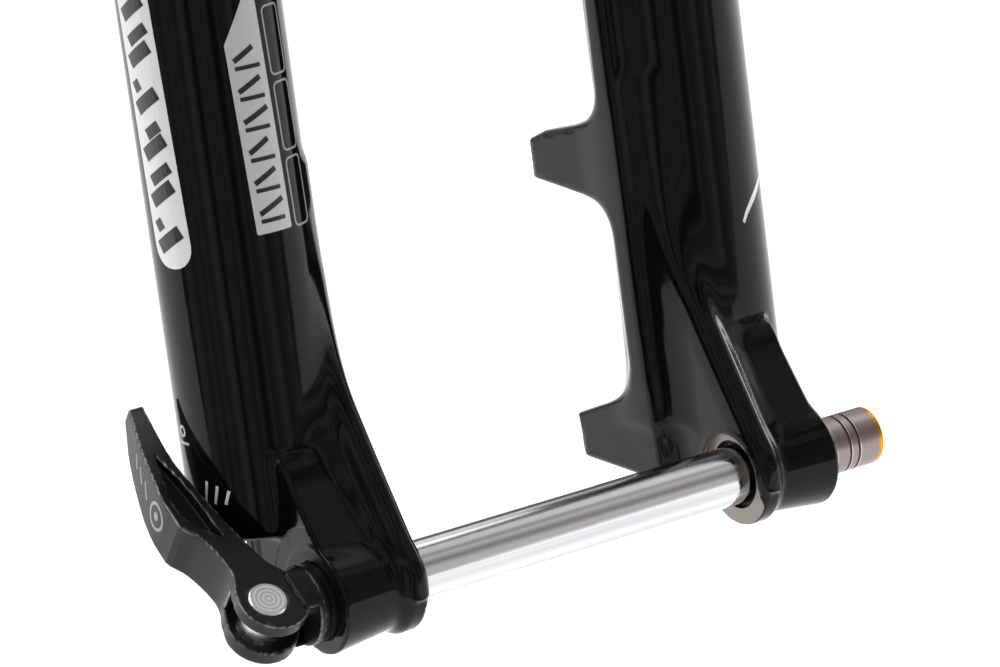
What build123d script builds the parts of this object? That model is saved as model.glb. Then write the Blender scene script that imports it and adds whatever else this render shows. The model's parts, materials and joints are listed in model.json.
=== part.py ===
"""Air-sprung bicycle suspension fork with a cam-lever through axle. Millimetres."""
import os
from math import cos, radians, sin

from build123d import *

os.makedirs("parts", exist_ok=True)

# Frame: the origin is the centre of the crown race seat, on the steerer axis.
# +Z runs up the steerer, -Y is forward and +X is the rider's left.

# Driving dimensions of the chassis
AXLE_TO_CROWN = 504.0
RAKE = 46.0
HUB_WIDTH = 100.0
LEG_X = 66.3
LEG_BEHIND_AXLE = 29.2

AXLE_Y = -RAKE
AXLE_Z = -AXLE_TO_CROWN
LEG_Y = AXLE_Y + LEG_BEHIND_AXLE
LEFT, RIGHT = 1, -1

# Steerer and crown
STEERER_TOP = 240.0
STEERER_R = 14.3
STEERER_BORE_R = 11.8
RACE_SEAT_R = 19.9
STEERER_FOOT_R = 19.0
RACE_SEAT_HEIGHT = 8.0
TAPER_TOP = 120.0
CROWN_BOTTOM = -34.0
SOCKET_R = 21.5
SOCKET_BOTTOM = -42.0
CROWN_BOSS_R = 27.0

# Stanchions and what slides in them
STANCHION_R = 16.0
STANCHION_BORE_R = 14.0
STANCHION_TOP = -4.0
STANCHION_BOTTOM = -344.0
SEAL_HEAD_TOP = -326.0
SHAFT_R = 5.0
RUNNING = 0.05

# Lower legs
LEG_R = 19.7
LEG_TOP_R = 20.1
COLLAR_R = 22.5
LOWERS_TOP = -158.0
COLLAR_BOTTOM = -190.0
LEG_END = AXLE_Z + 14.0
LEG_FLOOR = LEG_END + 6.0
LEG_BORE_R = 17.0
WIPER_R = 20.0
WIPER_SEAT = LOWERS_TOP - 8.0
FOAM_SEAT = WIPER_SEAT - 8.0
FOAM_R = 18.6
FOOT_HOLE_R = 4.4
ARCH_FRONT = -58.0
ARCH_TOP_BACK = -41.0
ARCH_BACK = -18.0

# Dropouts and brake posts
DROPOUT_IN = HUB_WIDTH / 2
DROPOUT_OUT = 74.0
BOSS_R = 13.3
WAIST_R = 11.6
LIP_R = 13.4
LIP_AHEAD = 3.5
LIP_OUT = 56.0
SPOT_FACE_R = 18.0
SEAT_R = 10.8
SEAT_DEPTH = 1.0
POST_IN = 44.4
POST_OUT = 63.6
POST_TILT = 5.35
POST_HOLE_R = 2.5
POST_HOLE_DEPTH = 18.0
UPPER_POST = (64.41, 77.34)
LOWER_POST = (57.49, 3.46)

# Through axle and its cam lever
AXLE_BORE_R = 7.5
AXLE_R = AXLE_BORE_R - RUNNING
AXLE_INNER_R = 3.6
ROD_R = 3.0
NUT_R = 7.38
NUT_START = 74.2
NUT_END = 91.8
GROOVES = (82.2, 85.0)
END_RING = 93.6
HEAD_R = 9.5
NECK_R = 8.7
CUP_R = 9.8
CUP_START = -83.6
CUP_END = -77.4
PIN_X = -89.6
PIN_R = 4.8
PIN_ANGLE = 49.0
CAM_R = 8.9
CAM_OFFSET = 1.5
LEVER_WIDTH = 14.4
SLOT_WIDTH = 6.6

BASE = (Align.CENTER, Align.CENTER, Align.MIN)


def ring(outer, inner, low, high, x=0.0, y=0.0):
    """A tube, or a disc where inner is 0, about a vertical axis."""
    body = Cylinder(outer, high - low, align=BASE)
    if inner:
        body -= Cylinder(inner, high - low, align=BASE)
    return Pos(x, y, low) * body


def turned(points, x=0.0, y=0.0):
    """A solid turned about a vertical axis from (radius, height) points."""
    face = Plane.XZ * make_face(Polyline(*points, close=True))
    return Pos(x, y, 0) * revolve(face, Axis.Z)


def across(outer, inner, start, end, y=AXLE_Y, z=AXLE_Z):
    """A tube or rod parallel to X."""
    return Pos(0, y, z) * Rot(0, 90, 0) * ring(outer, inner, start, end)


def side_plate(corners, radii, start, end):
    """A plate between two X values; its corners are (y, z) from the axle's axis."""
    points = [(AXLE_Y + y, AXLE_Z + z) for y, z in corners]
    face = make_face(FilletPolyline(*points, radius=radii, close=True))
    return extrude(Plane.YZ.offset(start) * face, amount=end - start)


def both_sides(solid):
    """The left-hand solid and its mirror image on the right."""
    return solid + mirror(solid, about=Plane.YZ)


def hexagon(across_flats, low, high, x, y):
    """A hexagonal bar about a vertical axis."""
    face = RegularPolygon(across_flats / 2, 6, major_radius=False)
    return Pos(x, y, low) * extrude(face, amount=high - low)


def save(solid, name):
    export_step(solid, f"parts/{name}.step")


# ---------------------------------------------------------------- fixed upper part


def steerer_tube():
    """Tapered tube, thick at the crown and thin at the stem."""
    return turned(
        [
            (16.4, CROWN_BOTTOM),
            (STEERER_FOOT_R, CROWN_BOTTOM),
            (STEERER_FOOT_R, 0),
            (RACE_SEAT_R, 0),
            (RACE_SEAT_R, RACE_SEAT_HEIGHT),
            (17.4, RACE_SEAT_HEIGHT + 6),
            (STEERER_R, TAPER_TOP),
            (STEERER_R, STEERER_TOP),
            (STEERER_BORE_R, STEERER_TOP),
            (STEERER_BORE_R, TAPER_TOP),
            (14.4, RACE_SEAT_HEIGHT + 10),
        ]
    )


def crown_arm(side):
    """The arm from the steerer boss out to one stanchion socket."""
    edges = Circle(CROWN_BOSS_R).edges() + (Pos(side * LEG_X, LEG_Y) * Circle(SOCKET_R)).edges()
    arm = extrude(Pos(0, 0, CROWN_BOTTOM) * make_hull(edges), amount=-CROWN_BOTTOM)
    return arm + ring(SOCKET_R, 0, SOCKET_BOTTOM, CROWN_BOTTOM, side * LEG_X, LEG_Y)


def crown():
    """Forged bridge with a pressed steerer and two pressed stanchions."""
    body = crown_arm(LEFT) + crown_arm(RIGHT)
    top_edges = body.faces().sort_by(Axis.Z)[-1].edges()
    body = fillet(top_edges, 3.0)
    for side in (LEFT, RIGHT):
        relief = Pos(side * 37.5, LEG_Y * 0.56, CROWN_BOTTOM) * Box(19, 24, 44)
        body -= fillet(relief.edges(), 6.0)
        body -= ring(STANCHION_R, 0, SOCKET_BOTTOM - 1, 1, side * LEG_X, LEG_Y)
    return body - ring(STEERER_FOOT_R, 0, CROWN_BOTTOM - 1, 1)


def stanchion(side):
    """Hard-coated sliding tube, pressed into the crown."""
    tube = ring(STANCHION_R, STANCHION_BORE_R, STANCHION_BOTTOM, STANCHION_TOP, side * LEG_X, LEG_Y)
    return chamfer(tube.edges().sort_by(Axis.Z)[0:2], 0.5)


def top_cap(side, bore_r):
    """Threaded cap with a notched rim for a ring spanner."""
    x = side * LEG_X
    cap = turned(
        [
            (bore_r, -20),
            (STANCHION_BORE_R - RUNNING, -20),
            (STANCHION_BORE_R - RUNNING, STANCHION_TOP),
            (STANCHION_R - RUNNING, STANCHION_TOP),
            (STANCHION_R - RUNNING, 0.1),
            (17.6, 0.1),
            (17.6, 3.0),
            (16.2, 4.4),
            (bore_r, 4.4),
        ],
        x,
        LEG_Y,
    )
    notch = Pos(x, LEG_Y, 1.6) * PolarLocations(17.8, 12) * Cylinder(1.3, 6, align=BASE)
    return cap - notch - ring(14.5, 13.0, -17, -14.6, x, LEG_Y)


def top_cap_orings():
    """One rubber ring under the thread of each cap."""
    rings = [ring(STANCHION_BORE_R, 13.0, -16.8, -14.8, side * LEG_X, LEG_Y) for side in (LEFT, RIGHT)]
    return Compound(children=rings)


def air_valve_body():
    """Valve stem screwed into the air cap, with a stepped throat for the pin."""
    return turned(
        [
            (1.2, -12),
            (3.95, -12),
            (3.95, 4.4),
            (6.0, 4.4),
            (6.0, 6.6),
            (3.9, 6.6),
            (3.9, 15.5),
            (2.6, 15.5),
            (2.6, 4.0),
            (1.2, 4.0),
        ],
        LEFT * LEG_X,
        LEG_Y,
    )


def air_valve_pin():
    """Spring-loaded pin that opens the valve when it is pushed."""
    stem = ring(0.9, 0, -13, 14.6, LEFT * LEG_X, LEG_Y)
    head = ring(1.7, 0, -15, -13, LEFT * LEG_X, LEG_Y)
    guide = ring(2.3, 0, 9.0, 10.6, LEFT * LEG_X, LEG_Y)
    return stem + head + guide


def air_valve_cap():
    """Dust cap with a grip of shallow flutes."""
    cap = turned(
        [
            (4.2, 6.8),
            (6.2, 6.8),
            (6.2, 18.0),
            (5.0, 19.6),
            (0, 19.6),
            (0, 17.4),
            (4.2, 17.4),
        ],
        LEFT * LEG_X,
        LEG_Y,
    )
    flutes = Pos(LEFT * LEG_X, LEG_Y, 8.4) * PolarLocations(6.7, 16) * Cylinder(0.8, 8.4, align=BASE)
    return cap - flutes


def lockout_knob():
    """Scalloped dial with a finger tab."""
    x = RIGHT * LEG_X
    profile = [(0, 4.8), (14.6, 4.8), (14.6, 11.6), (12.6, 14.4), (5.0, 14.4), (4.2, 13.4), (0, 13.4)]
    dial = turned(profile, x, LEG_Y)
    dial -= Pos(x, LEG_Y, 4.0) * PolarLocations(18.0, 10, start_angle=18) * Cylinder(5.0, 12, align=BASE)
    tab = Pos(x, LEG_Y - 13.5, 4.8) * Box(6.4, 13.0, 9.0, align=BASE)
    tab = fillet(tab.edges().filter_by(Axis.Z), 2.4)
    return dial + tab


def lockout_spindle():
    """Spindle that the dial turns, down inside the damper cartridge."""
    return ring(2.4, 0, -86, 4.8, RIGHT * LEG_X, LEG_Y)


def lockout_screw():
    """Countersunk screw that holds the dial on its spindle."""
    x = RIGHT * LEG_X
    head = turned([(0, 13.4), (3.2, 13.4), (3.2, 14.4), (2.4, 15.2), (0, 15.2)], x, LEG_Y)
    return head - hexagon(2.5, 13.9, 15.3, x, LEG_Y)


def damper_cartridge():
    """Compression valve body with oil ports, hung from the damper cap."""
    x = RIGHT * LEG_X
    body = turned(
        [
            (2.5, -96),
            (12.6, -96),
            (12.6, -88),
            (8.4, -86),
            (8.4, -30),
            (12.6, -28),
            (12.6, -20.0),
            (2.5, -20.0),
        ],
        x,
        LEG_Y,
    )
    ports = Pos(x, LEG_Y, -97) * PolarLocations(9.2, 6) * Cylinder(1.6, 10, align=BASE)
    return body - ports


def seal_head(side):
    """Plug in the stanchion's foot that guides the shaft."""
    body = turned(
        [
            (SHAFT_R + RUNNING, STANCHION_BOTTOM + 2.4),
            (STANCHION_BORE_R - RUNNING, STANCHION_BOTTOM + 2.4),
            (STANCHION_BORE_R - RUNNING, SEAL_HEAD_TOP),
            (8.0, SEAL_HEAD_TOP),
            (8.0, SEAL_HEAD_TOP - 3.0),
            (SHAFT_R + RUNNING, SEAL_HEAD_TOP - 3.0),
        ],
        side * LEG_X,
        LEG_Y,
    )
    groove = ring(STANCHION_BORE_R, 12.4, -336.6, -334.2, side * LEG_X, LEG_Y)
    return body - groove


def seal_head_circlips():
    """Open wire rings that hold both seal heads in the stanchions."""
    clips = []
    for side in (LEFT, RIGHT):
        low, high = STANCHION_BOTTOM + 0.8, STANCHION_BOTTOM + 2.2
        clip = ring(STANCHION_BORE_R, 12.6, low, high, side * LEG_X, LEG_Y)
        clips.append(clip - Pos(side * LEG_X, LEG_Y - 13, STANCHION_BOTTOM + 1.5) * Box(7, 6, 4))
    return Compound(children=clips)


def seal_head_orings():
    """Outer rubber ring of each seal head."""
    rings = [ring(STANCHION_BORE_R, 12.5, -336.4, -334.4, side * LEG_X, LEG_Y) for side in (LEFT, RIGHT)]
    return Compound(children=rings)


def shaft_seals():
    """Lip seal round each shaft, in the top of its seal head."""
    seals = [
        ring(7.9, SHAFT_R + RUNNING, SEAL_HEAD_TOP - 2.9, SEAL_HEAD_TOP - 0.2, side * LEG_X, LEG_Y)
        for side in (LEFT, RIGHT)
    ]
    return Compound(children=seals)


def negative_spring():
    """Short coil on the air side that pushes back as the fork tops out."""
    wire_r, coil_r, pitch = 1.2, 9.4, 4.2
    low, high = SEAL_HEAD_TOP + wire_r + 0.1, -308.0 - wire_r
    path = Helix(pitch=pitch, height=high - low, radius=coil_r)
    section = Plane(path @ 0, z_dir=path % 0) * Circle(wire_r)
    return Pos(LEFT * LEG_X, LEG_Y, low) * sweep(section, path, is_frenet=True)


# ---------------------------------------------------------------- sliding lower part


def leg_shell(side):
    """Slim leg with a thicker seal collar at its mouth."""
    return turned(
        [
            (0, LEG_END),
            (LEG_R - 3, LEG_END),
            (LEG_R, LEG_END + 3),
            (LEG_TOP_R, COLLAR_BOTTOM - 12),
            (COLLAR_R, COLLAR_BOTTOM + 4),
            (COLLAR_R, LOWERS_TOP - 1.5),
            (COLLAR_R - 1.5, LOWERS_TOP),
            (0, LOWERS_TOP),
        ],
        side * LEG_X,
        LEG_Y,
    )


def leg_bore(side):
    """Stepped bore for the bushings, the foam ring and the wiper."""
    return turned(
        [
            (0, LEG_FLOOR),
            (LEG_BORE_R, LEG_FLOOR),
            (LEG_BORE_R, FOAM_SEAT),
            (FOAM_R, FOAM_SEAT),
            (FOAM_R, WIPER_SEAT),
            (WIPER_R, WIPER_SEAT),
            (WIPER_R, LOWERS_TOP + 1),
            (0, LOWERS_TOP + 1),
        ],
        side * LEG_X,
        LEG_Y,
    )


def dropout():
    """Left web from the leg forward to the axle boss, with a taller flange inside."""
    flange_front = [(30, 96), (18.9, 93), (18.9, 66), (2, 26), (-13, 10)]
    flange_corners = flange_front + [(-10, -9), (24, -7), (38, 14), (38, 60)]
    flange_radii = [0, 8, 45, 60, 6, 4, 12, 8, 8]
    block_corners = [(30, 50), (8.6, 35), (6, 29), (-8, 9), (0, -6), (24, -4), (38, 14), (38, 40)]
    block_radii = [0, 0, 12, 4, 4, 12, 8, 4]
    body = side_plate(flange_corners, flange_radii, DROPOUT_IN, LIP_OUT)
    body += side_plate(block_corners, block_radii, LIP_OUT, DROPOUT_OUT)
    body += across(LIP_R, 0, DROPOUT_IN, LIP_OUT, AXLE_Y - LIP_AHEAD)
    boss = Pos(0, AXLE_Y, AXLE_Z) * Rot(0, 90, 0) * Pos(0, 0, LIP_OUT) * Cone(
        WAIST_R, BOSS_R, DROPOUT_OUT - LIP_OUT, align=BASE
    )
    return body + boss


def hub_seat():
    """Machined recess on the inner face, open downwards so that a hub drops in."""
    seat = across(SEAT_R, 0, DROPOUT_IN - 1, DROPOUT_IN + SEAT_DEPTH)
    slot = Pos(DROPOUT_IN, AXLE_Y, AXLE_Z - 12) * Box(2 * SEAT_DEPTH, 2 * SEAT_R, 24)
    return seat + slot


def brake_posts():
    """Two posts on the left leg that face the rear and carry the caliper."""
    upper = [(26, 110), (31, 98), (38.6, 88), (64.9, 83), (64.2, 71.6), (40, 68.8), (30, 62), (26, 50)]
    lower = [(26, 36), (30.6, 24), (37, 16.6), (58.7, 10.2), (57.2, -1.8), (30, -3.2), (14, -9), (20, 20)]
    body = side_plate(upper, [0, 10, 8, 1.6, 1.6, 8, 10, 0], POST_IN, POST_OUT)
    return body + side_plate(lower, [0, 10, 6, 1.6, 1.6, 0, 4, 0], POST_IN, POST_OUT)


def post_hole(post):
    """Blind M6 tapping hole, square to the post's tilted face."""
    tilt = radians(POST_TILT)
    mouth = Plane(
        origin=((POST_IN + POST_OUT) / 2, AXLE_Y + post[0], AXLE_Z + post[1]),
        x_dir=(1, 0, 0),
        z_dir=(0, cos(tilt), -sin(tilt)),
    )
    return mouth * Pos(0, 0, -POST_HOLE_DEPTH) * Cylinder(POST_HOLE_R, POST_HOLE_DEPTH + 3, align=BASE)


def arch():
    """Bridge in front of the tyre that ties the two legs together."""
    outer = Pos(0, -180) * Ellipse(84, 82)
    inner = Pos(0, -190) * Ellipse(43.5, 72)
    below = Pos(0, -250) * Rectangle(200, 100)
    front_view = Plane.XZ.offset(-ARCH_BACK) * (outer - inner - below)
    bridge = extrude(front_view, amount=ARCH_BACK - ARCH_FRONT)
    behind_top = Pos(0, ARCH_TOP_BACK, LOWERS_TOP - 2)
    behind_top *= Box(200, 60, 80, align=(Align.CENTER, Align.MIN, Align.MIN))
    chin = [(ARCH_FRONT - 1, -150), (ARCH_FRONT, -150), (ARCH_FRONT + 14, -201), (ARCH_FRONT - 1, -201)]
    chin_cut = extrude(Plane.YZ.offset(-100) * make_face(Polyline(*chin, close=True)), amount=200)
    return bridge - behind_top - chin_cut


def hose_boss():
    """Small rear boss on the left leg for the brake hose guide."""
    boss = Pos(LEFT * LEG_X, LEG_Y, -300) * Rot(-90, 0, 0) * Cylinder(5.2, 23.4, align=BASE)
    return boss


def lower_casting():
    """One-piece cast legs, arch, dropouts and brake posts."""
    body = leg_shell(LEFT) + leg_shell(RIGHT) + arch() + both_sides(dropout()) + brake_posts() + hose_boss()
    for side in (LEFT, RIGHT):
        body -= leg_bore(side)
        body -= ring(FOOT_HOLE_R, 0, LEG_END - 30, LEG_FLOOR + 1, side * LEG_X, LEG_Y)
        body -= ring(9.6, 0, LEG_END - 30, LEG_END, side * LEG_X, LEG_Y)
    body -= both_sides(hub_seat())
    body -= across(AXLE_BORE_R, 0, -90, 90)
    body -= both_sides(across(HEAD_R + 0.3, 0, DROPOUT_OUT - 1.4, DROPOUT_OUT + 1))
    body -= both_sides(across(SPOT_FACE_R, 0, DROPOUT_OUT, DROPOUT_OUT + 16))
    body -= post_hole(UPPER_POST) + post_hole(LOWER_POST)
    hole_mouth = LEG_Y + 23.4
    return body - Pos(LEFT * LEG_X, hole_mouth - 3.2, -300) * Rot(-90, 0, 0) * Cylinder(2.1, 4, align=BASE)


def dust_wiper(side):
    """Rubber seal with a flared lip, pressed into the collar."""
    return turned(
        [
            (18.0, WIPER_SEAT),
            (WIPER_R, WIPER_SEAT),
            (WIPER_R, LOWERS_TOP),
            (21.4, LOWERS_TOP),
            (21.4, LOWERS_TOP + 1.6),
            (18.4, LOWERS_TOP + 3.4),
            (17.6, LOWERS_TOP + 6.4),
            (STANCHION_R + RUNNING, LOWERS_TOP + 6.4),
            (STANCHION_R + RUNNING, LOWERS_TOP + 5.0),
            (17.0, LOWERS_TOP + 1.0),
            (17.0, WIPER_SEAT + 3.0),
            (STANCHION_R + RUNNING, WIPER_SEAT + 2.4),
            (STANCHION_R + RUNNING, WIPER_SEAT + 1.4),
        ],
        side * LEG_X,
        LEG_Y,
    )


def garter_springs():
    """Fine spring ring round each wiper lip."""
    rings = []
    for side in (LEFT, RIGHT):
        rings.append(Pos(side * LEG_X, LEG_Y, LOWERS_TOP + 4.9) * Torus(18.7, 0.5))
    return Compound(children=rings)


def foam_ring(side):
    """Oil-soaked foam that wets the stanchion."""
    return ring(FOAM_R, STANCHION_R + RUNNING, FOAM_SEAT, WIPER_SEAT - 0.2, side * LEG_X, LEG_Y)


def bushing(side, top, length):
    """Thin slide bearing pressed into the leg."""
    return ring(LEG_BORE_R, STANCHION_R + RUNNING, top - length, top, side * LEG_X, LEG_Y)


def air_shaft():
    """Hollow shaft from the left foot up to the air piston."""
    body = ring(SHAFT_R, 3.2, LEG_FLOOR + 0.1, -300, LEFT * LEG_X, LEG_Y)
    return body + ring(8.0, 3.2, LEG_FLOOR + 0.1, LEG_FLOOR + 5, LEFT * LEG_X, LEG_Y)


def air_piston():
    """Piston screwed on the air shaft, with a groove for its seal."""
    profile = [(0, -300), (SHAFT_R, -300), (SHAFT_R, -307), (13.6, -307), (13.6, -294), (6, -291), (0, -291)]
    body = turned(profile, LEFT * LEG_X, LEG_Y)
    return body - ring(14.0, 11.8, -302.4, -298.6, LEFT * LEG_X, LEG_Y)


def air_piston_seal():
    """Square-section ring that seals the air chamber."""
    return ring(STANCHION_BORE_R - RUNNING, 11.8, -302.2, -298.8, LEFT * LEG_X, LEG_Y)


def bump_stops():
    """Rubber stops on both shafts that soften a full compression."""
    stops = []
    for side in (LEFT, RIGHT):
        low = LEG_FLOOR + 5.1
        profile = [(5.1, low), (10.5, low), (10.5, low + 8), (8.6, low + 11)]
        profile += [(10.2, low + 14), (9.0, low + 24), (5.1, low + 24)]
        stops.append(turned(profile, side * LEG_X, LEG_Y))
    return Compound(children=stops)


def damper_shaft():
    """Hollow rebound shaft from the right foot."""
    body = ring(SHAFT_R, 2.6, LEG_FLOOR + 0.1, -303, RIGHT * LEG_X, LEG_Y)
    return body + ring(8.0, 2.6, LEG_FLOOR + 0.1, LEG_FLOOR + 5, RIGHT * LEG_X, LEG_Y)


def rebound_piston():
    """Ported piston on the rebound shaft."""
    x = RIGHT * LEG_X
    profile = [(2.6, -303), (SHAFT_R, -303), (SHAFT_R, -306), (13.5, -306)]
    profile += [(13.5, -292), (9, -290), (2.6, -290)]
    body = turned(profile, x, LEG_Y)
    body -= Pos(x, LEG_Y, -307) * PolarLocations(9.6, 6) * Cylinder(1.5, 18, align=BASE)
    return body - ring(14.0, 12.6, -301.4, -296.6, x, LEG_Y)


def piston_ring():
    """Slide ring of the rebound piston."""
    return ring(STANCHION_BORE_R - RUNNING, 12.6, -301.2, -296.8, RIGHT * LEG_X, LEG_Y)


def rebound_shims():
    """Stack of thin spring discs on the piston's top."""
    discs = [
        ring(8.6 - 0.9 * step, 2.6, -290 + 0.3 * step, -289.7 + 0.3 * step, RIGHT * LEG_X, LEG_Y)
        for step in range(4)
    ]
    return discs[0] + discs[1] + discs[2] + discs[3]


def crush_washers():
    """Soft washer under each foot fastener."""
    washers = [ring(8.2, 4.3, LEG_END - 1.2, LEG_END, side * LEG_X, LEG_Y) for side in (LEFT, RIGHT)]
    return Compound(children=washers)


def foot_bolt(side, shank_r, bore_r):
    """Hexagon-headed bolt that pulls a shaft down onto the leg's floor."""
    x = side * LEG_X
    head = hexagon(12.0, LEG_END - 6.4, LEG_END - 1.2, x, LEG_Y)
    bolt = head + ring(shank_r, 0, LEG_END - 1.2, LEG_FLOOR + 12, x, LEG_Y)
    if bore_r:
        bolt -= ring(bore_r, 0, LEG_END - 7, LEG_FLOOR + 13, x, LEG_Y)
    return bolt


def rebound_knob():
    """Knurled dial under the right leg, hollow above for the foot bolt."""
    x = RIGHT * LEG_X
    top, bottom = LEG_END - 1.6, LEG_END - 13.0
    profile = [(0, bottom), (7.0, bottom), (8.4, bottom + 1.4), (8.4, top - 0.6), (7.4, top), (0, top)]
    dial = turned(profile, x, LEG_Y)
    dial -= hexagon(14.8, LEG_END - 7.2, top + 1, x, LEG_Y)
    return dial - Pos(x, LEG_Y, bottom - 1) * PolarLocations(8.9, 18) * Cylinder(0.85, 14, align=BASE)


def rebound_needle():
    """Needle that the dial turns, inside the hollow damper shaft."""
    return ring(1.4, 0, LEG_END - 7.2, -296, RIGHT * LEG_X, LEG_Y)


def hose_guide():
    """Moulded clip for the brake hose, on its boss behind the left leg."""
    low_y = LEG_Y + 23.4
    plate = Pos(LEFT * LEG_X, low_y, -300) * Rot(-90, 0, 0) * Cylinder(6.0, 3.0, align=BASE)
    hook = ring(5.4, 2.9, -304, -296, LEFT * LEG_X - 10.6, low_y + 5.4)
    hook -= Pos(LEFT * LEG_X - 10.6, low_y + 10, -300) * Box(3.6, 8, 10)
    hole = Pos(LEFT * LEG_X, low_y - 1, -300) * Rot(-90, 0, 0) * Cylinder(2.2, 6, align=BASE)
    return plate + hook - hole


def hose_guide_screw():
    """Button-headed screw of the hose guide."""
    base = Pos(LEFT * LEG_X, LEG_Y + 23.4, -300) * Rot(-90, 0, 0)
    head = turned([(0, 3.0), (4.0, 3.0), (4.0, 4.0), (2.6, 5.4), (0, 5.4)])
    socket = hexagon(2.5, 3.8, 5.6, 0, 0)
    return base * (ring(2.0, 0, -3.0, 3.0) + head - socket)


def sag_ring():
    """Rubber ring that the wiper pushes up the right stanchion."""
    return ring(18.0, STANCHION_R + RUNNING, LOWERS_TOP + 6.6, LOWERS_TOP + 8.8, RIGHT * LEG_X, LEG_Y)


# ---------------------------------------------------------------- axle and lever

# The cam plane: its x runs along the axle and its y along the closed lever.
PIVOT = Plane(
    origin=(PIN_X, AXLE_Y, AXLE_Z),
    x_dir=(1, 0, 0),
    z_dir=(0, -cos(radians(PIN_ANGLE)), sin(radians(PIN_ANGLE))),
)
CAM_GAP = 0.25
CUP_FACE = PIN_X + CAM_OFFSET + CAM_R + CAM_GAP


def cam_disc(radius, width):
    """A disc about the cam's centre line, in the lever's plane."""
    return PIVOT * Pos(CAM_OFFSET, 0, 0) * Cylinder(radius, width)


def axle_tube():
    """Hollow 15 mm axle with a stepped collar that seats in the right dropout."""
    body = across(AXLE_R, AXLE_INNER_R, -DROPOUT_OUT, DROPOUT_OUT - 0.6)
    body += across(HEAD_R, AXLE_INNER_R, -DROPOUT_OUT - 1.6, -DROPOUT_OUT + 1.2)
    return body + across(NECK_R, AXLE_INNER_R, CUP_END, -DROPOUT_OUT - 1.6)


def cup_chamfer(side):
    """What is cut from one cheek of the cup, sloping down to the lever's flank."""
    flank = LEVER_WIDTH / 2
    start, end = CUP_START - PIN_X, CUP_END - PIN_X
    corners = [(start - 1, side * flank), (end, side * (flank + 2.9))]
    corners += [(end, side * 14), (start - 1, side * 14)]
    plane = Plane(origin=(0, 0, 0), x_dir=(1, 0, 0), z_dir=(0, -1, 0))
    return PIVOT * extrude(plane * make_face(Polyline(*corners, close=True)), amount=20, both=True)


def cam_cup():
    """Cup between collar and cam, with a chamfered cheek on each side of the lever."""
    cup = across(CUP_R, AXLE_INNER_R, CUP_START, CUP_END)
    cup -= cup_chamfer(1) + cup_chamfer(-1)
    cup -= PIVOT * Box(2 * (CUP_FACE - PIN_X), 40, LEVER_WIDTH + 0.4)
    return cup - cam_disc(CAM_R + CAM_GAP, LEVER_WIDTH + 0.4)


def draw_rod():
    """Steel rod through the axle, screwed into the lever's barrel pin."""
    return across(ROD_R, 0, PIN_X + 1.0, END_RING - 0.8)


def lever_pin():
    """Turned barrel that the lever pivots on."""
    barrel = PIVOT * Cylinder(PIN_R, LEVER_WIDTH + 0.4)
    barrel = chamfer(barrel.edges(), 0.35)
    return barrel - across(ROD_R, 0, PIN_X + 1.0, PIN_X + 8)


def lever_outline():
    """Side view of the lever: a round head, an elbow and a long curved blade."""
    inner = Spline((7.2, 6.4), (4.0, 15.0), (1.3, 27.5), (-0.8, 41.0), (-0.3, 54.0), (1.8, 65.2))
    tip = Line((1.8, 65.2), (-0.8, 65.2))
    outer = Spline((-0.8, 65.2), (-2.6, 61.0), (-6.0, 51.0), (-8.5, 41.0), (-9.5, 31.0), (-9.2, 26.6))
    shoulder = Spline((-9.2, 26.6), (-5.9, 20.2), (-4.3, 13.5), (-5.6, 6.0))
    back = Line((-5.6, 6.0), (7.2, 6.4))
    return make_face(inner + tip + outer + shoulder + back)


def lever_width_wedge():
    """The lever narrows from its head to its tip."""
    stations = [(-12, 14.4), (14, 14.4), (27, 13.4), (40, 12.4), (51, 9.2), (61, 5.6), (67, 4.4)]
    right = [(width / 2, along) for along, width in stations]
    left = [(-width / 2, along) for along, width in reversed(stations)]
    return make_face(Polyline(*right, *left, close=True))


def lever_pocket():
    """Tapered pocket in the lever's flank."""
    corners = [(-3.2, 49), (-1.3, 32), (-1.0, 21.5), (-4.4, 24.6), (-7.2, 29), (-7.3, 34), (-5.9, 41)]
    return make_face(FilletPolyline(*corners, radius=[0.3, 6, 0.4, 4, 2, 3, 6], close=True))


def cam_lever():
    """Closing lever with a slotted, eccentric head."""
    blade = extrude(lever_outline(), amount=LEVER_WIDTH / 2, both=True)
    blade += Pos(CAM_OFFSET, 0, 0) * Cylinder(CAM_R, LEVER_WIDTH)
    wedge_plane = Plane(origin=(0, 0, 0), x_dir=(0, 0, 1), z_dir=(-1, 0, 0))
    blade &= extrude(wedge_plane * lever_width_wedge(), amount=20, both=True)
    for face_z in (1, -1):
        blade -= Pos(0, 0, face_z * 5.4) * extrude(lever_pocket(), amount=2.4, both=True)
    blade -= Cylinder(PIN_R + RUNNING, 30)
    slot_depth = Pos(6, -2, 0) * Box(34, 19, SLOT_WIDTH)
    blade -= slot_depth
    return PIVOT * blade


def tension_nut():
    """Grooved sleeve that sets the clamping force."""
    sleeve = across(NUT_R, ROD_R + RUNNING, NUT_START, NUT_END)
    for groove_x in GROOVES:
        sleeve -= across(NUT_R + 1, NUT_R - 0.6, groove_x, groove_x + 0.7)
    return chamfer(sleeve.edges().group_by(Axis.X)[0].sort_by(SortBy.LENGTH)[-1:], 0.4)


def nut_end_ring():
    """Coloured ring at the end of the sleeve."""
    ring_solid = across(NUT_R, ROD_R + RUNNING, NUT_END, END_RING)
    return chamfer(ring_solid.edges().group_by(Axis.X)[-1].sort_by(SortBy.LENGTH)[-1:], 0.7)


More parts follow.
